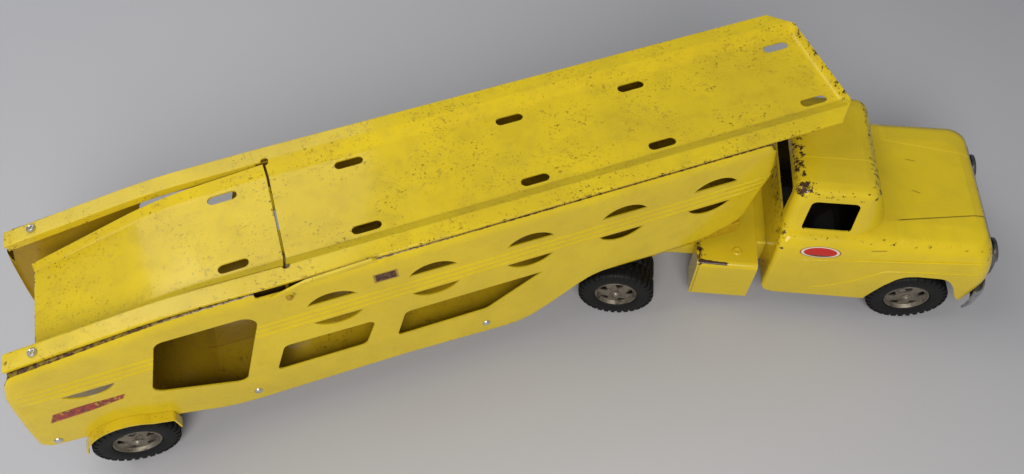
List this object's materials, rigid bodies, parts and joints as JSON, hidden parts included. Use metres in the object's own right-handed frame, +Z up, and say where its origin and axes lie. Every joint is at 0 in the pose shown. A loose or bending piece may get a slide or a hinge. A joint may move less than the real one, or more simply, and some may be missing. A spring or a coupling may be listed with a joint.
{
  "type": "toy car carrier truck",
  "caption": "Pressed-steel toy semi tractor with a double-deck car-hauling trailer: swinging coupling, rolling wheels, hinged rear ramp with release lever.",
  "frame": {"origin": "on the ground under the middle of the bounding box, with the tractor swung to its rest angle", "axes": "+X along the trailer toward its nose, +Y to the trailer's left, +Z up"},
  "size_m": [0.7203, 0.2494, 0.1696],
  "materials": {
    "yellow_paint": "worn gloss enamel",
    "wheel_steel": "dull and stained",
    "rod_steel": "bright",
    "bare_steel": "dull",
    "bright_plate": "polished, slightly pitted",
    "lamp": "glossy",
    "tyre_rubber": "matte"
  },
  "bodies": {
    "tractor": {"cab_shell": "yellow_paint", "grille": "bright_plate", "headlight_right": "lamp", "headlight_left": "lamp", "front_bumper": "bright_plate", "chassis_frame": "yellow_paint", "saddle_tanks": "yellow_paint", "fifth_wheel": "bare_steel", "front_axle": "rod_steel", "rear_axle": "rod_steel"},
    "trailer": {"upper_deck": "yellow_paint", "side_panel_right": "yellow_paint", "side_panel_left": "yellow_paint", "lower_deck": "yellow_paint", "front_bulkhead": "yellow_paint", "fender_right": "yellow_paint", "fender_left": "yellow_paint", "axle_carrier": "bare_steel", "trailer_axle": "rod_steel", "coupler_plate": "yellow_paint", "kingpin": "rod_steel", "rail_rivet_right": "rod_steel", "rail_rivet_left": "rod_steel", "belly_rivet_right_1": "rod_steel", "belly_rivet_right_2": "rod_steel", "belly_rivet_right_3": "rod_steel", "belly_rivet_left_1": "rod_steel", "belly_rivet_left_2": "rod_steel", "belly_rivet_left_3": "rod_steel"},
    "ramp": {"ramp": "yellow_paint", "ramp_hinge_rod": "rod_steel", "ramp_lever": "yellow_paint"},
    "front_wheel_right": {"front_hub_right": "wheel_steel", "front_tyre_right": "tyre_rubber"},
    "rear_wheels_right": {"rear_hub_right": "wheel_steel", "rear_tyre_outer_right": "tyre_rubber", "rear_tyre_inner_right": "tyre_rubber"},
    "trailer_wheel_right": {"trailer_hub_right": "wheel_steel", "trailer_tyre_right": "tyre_rubber"},
    "front_wheel_left": {"front_hub_left": "wheel_steel", "front_tyre_left": "tyre_rubber"},
    "rear_wheels_left": {"rear_hub_left": "wheel_steel", "rear_tyre_outer_left": "tyre_rubber", "rear_tyre_inner_left": "tyre_rubber"},
    "trailer_wheel_left": {"trailer_hub_left": "wheel_steel", "trailer_tyre_left": "tyre_rubber"}
  },
  "joints": [
    {"name": "kingpin_swing", "type": "hinge", "parent": "tractor", "child": "trailer", "pos_m": [0.1118, 0.03174, 0.062], "axis": [0, 0, 1], "range_deg": [-93.9, 46.1]},
    {"name": "ramp_hinge", "type": "hinge", "parent": "trailer", "child": "ramp", "pos_m": [-0.1677, 0.03174, 0.1544], "axis": [0, 1, 0], "range_deg": [-20, 2]},
    {"name": "front_wheel_spin_right", "type": "hinge", "parent": "tractor", "child": "front_wheel_right", "pos_m": [0.26883, -0.09665, 0.029], "axis": [0.4054, 0.9141, 0], "continuous": true},
    {"name": "rear_wheels_spin_right", "type": "hinge", "parent": "tractor", "child": "rear_wheels_right", "pos_m": [0.05904, -0.02209, 0.029], "axis": [0.4054, 0.9141, 0], "continuous": true},
    {"name": "trailer_wheel_spin_right", "type": "hinge", "parent": "trailer", "child": "trailer_wheel_right", "pos_m": [-0.307, -0.02376, 0.029], "axis": [0, 1, 0], "continuous": true},
    {"name": "front_wheel_spin_left", "type": "hinge", "parent": "tractor", "child": "front_wheel_left", "pos_m": [0.31238, 0.00153, 0.029], "axis": [0.4054, 0.9141, 0], "continuous": true},
    {"name": "rear_wheels_spin_left", "type": "hinge", "parent": "tractor", "child": "rear_wheels_left", "pos_m": [0.11629, 0.10698, 0.029], "axis": [0.4054, 0.9141, 0], "continuous": true},
    {"name": "trailer_wheel_spin_left", "type": "hinge", "parent": "trailer", "child": "trailer_wheel_left", "pos_m": [-0.307, 0.08724, 0.029], "axis": [0, 1, 0], "continuous": true}
  ]
}
